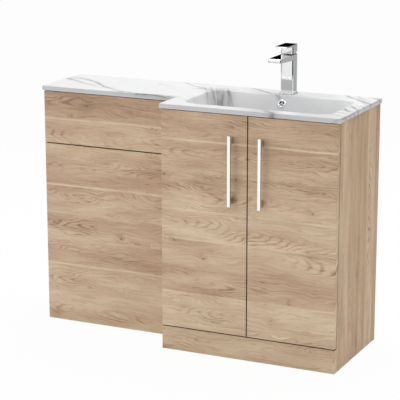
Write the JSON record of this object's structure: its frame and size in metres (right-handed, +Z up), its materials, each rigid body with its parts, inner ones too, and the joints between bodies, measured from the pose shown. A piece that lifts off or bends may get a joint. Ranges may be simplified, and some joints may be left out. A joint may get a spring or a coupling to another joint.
{
  "type": "bathroom vanity and toilet cabinet unit",
  "caption": "Floor-standing basin cabinet with doors beside a shallower toilet cabinet, under one L-shaped cast marble-effect top with a moulded bowl and a lever mixer.",
  "frame": {"origin": "centre of the unit's footprint at floor level", "axes": "+X to the right along the wall, +Y towards the wall, +Z up"},
  "size_m": [1.109, 0.4096, 0.977],
  "materials": {
    "oak_board": "melamine-faced board with a pale oak decor",
    "carcass_board": "melamine-faced board, pale oak decor",
    "back_board": "thin faced board",
    "beech_dowel": "fluted beech",
    "cast_marble": "polished white cast stone with grey veins",
    "chrome": "polished chrome plate",
    "zinc_steel": "zinc-plated steel",
    "hinge_nickel": "nickel-plated steel",
    "clear_buffer": "soft clear pad",
    "white_plastic": "moulded white plastic",
    "black_rubber": "black rubber",
    "brass": "machined brass"
  },
  "bodies": {
    "cabinet": {"vanity_side_left": "oak_board", "vanity_side_right": "oak_board", "vanity_plinth": "oak_board", "wc_side_left": "oak_board", "wc_side_right": "oak_board", "wc_lower_panel": "oak_board", "vanity_base": "carcass_board", "vanity_front_rail": "carcass_board", "vanity_rear_rail": "carcass_board", "vanity_shelf": "carcass_board", "wc_top_rail": "carcass_board", "wc_mid_rail": "carcass_board", "wc_bottom_rail": "carcass_board", "wc_rear_rail": "carcass_board", "vanity_back_board": "back_board", "vanity_dowels": "beech_dowel", "wc_dowels": "beech_dowel", "basin_top": "cast_marble", "overflow_ring": "chrome", "waste_body": "chrome", "tap_body": "chrome", "tap_spout": "chrome", "tap_foot": "chrome", "unit_connecting_bolts": "zinc_steel", "wall_brackets": "zinc_steel", "tap_stud": "zinc_steel", "tap_clamp_plate": "zinc_steel", "shelf_pins": "zinc_steel", "hinge_arms": "hinge_nickel", "hinge_plates": "hinge_nickel", "plinth_blocks": "white_plastic", "access_clip_sleeves": "white_plastic", "waste_nut": "white_plastic", "tap_cartridge": "white_plastic", "tap_aerator": "white_plastic", "waste_washer": "black_rubber", "tap_rubber_washer": "black_rubber", "tap_cartridge_nut": "brass", "tap_stud_nut": "brass"},
    "left_hinge_link": {"left_hinge_links": "hinge_nickel"},
    "left_door": {"left_door": "oak_board", "left_handle": "chrome", "left_handle_bolts": "zinc_steel", "left_hinge_cups": "hinge_nickel", "left_cup_pins": "hinge_nickel", "left_door_buffers": "clear_buffer"},
    "right_hinge_link": {"right_hinge_links": "hinge_nickel"},
    "right_door": {"right_door": "oak_board", "right_handle": "chrome", "right_handle_bolts": "zinc_steel", "right_hinge_cups": "hinge_nickel", "right_cup_pins": "hinge_nickel", "right_door_buffers": "clear_buffer"},
    "access_panel": {"wc_access_panel": "oak_board", "access_clip_studs": "white_plastic"},
    "waste_plug": {"waste_plug": "chrome"},
    "lever_swivel": {"tap_swivel": "white_plastic", "tap_swivel_pin": "zinc_steel"},
    "tap_lever": {"tap_lever": "chrome", "tap_stem": "brass"}
  },
  "joints": [
    {"name": "left_link_swing", "type": "hinge", "parent": "cabinet", "child": "left_hinge_link", "pos_m": [-0.042, -0.16525, 0.439], "axis": [0, 0, -1], "range_deg": [0, 118.75]},
    {"name": "left_door_turn", "type": "hinge", "parent": "left_hinge_link", "child": "left_door", "pos_m": [-0.028, -0.16525, 0.439], "axis": [0, 0, -1], "range_deg": [-23.8, 0]},
    {"name": "right_link_swing", "type": "hinge", "parent": "cabinet", "child": "right_hinge_link", "pos_m": [0.542, -0.16525, 0.439], "axis": [0, 0, 1], "range_deg": [0, 118.75]},
    {"name": "right_door_turn", "type": "hinge", "parent": "right_hinge_link", "child": "right_door", "pos_m": [0.528, -0.16525, 0.439], "axis": [0, 0, 1], "range_deg": [-23.8, 0]},
    {"name": "access_panel_pull", "type": "slide", "parent": "cabinet", "child": "access_panel", "axis": [0, -1, 0], "range_m": [0, 0.08]},
    {"name": "waste_plug_lift", "type": "slide", "parent": "cabinet", "child": "waste_plug", "axis": [0, 0, 1], "range_m": [0, 0.008]},
    {"name": "lever_turn", "type": "hinge", "parent": "cabinet", "child": "lever_swivel", "pos_m": [0.25, 0.15875, 0.931], "axis": [0, 0, 1], "range_deg": [-45, 45]},
    {"name": "lever_lift", "type": "hinge", "parent": "lever_swivel", "child": "tap_lever", "pos_m": [0.25, 0.15875, 0.931], "axis": [-1, 0, 0], "range_deg": [0, 22]}
  ],
  "couplings": [
    {"joint": "left_door_turn", "follows": "left_link_swing", "ratio": -0.2},
    {"joint": "right_door_turn", "follows": "right_link_swing", "ratio": -0.2}
  ]
}
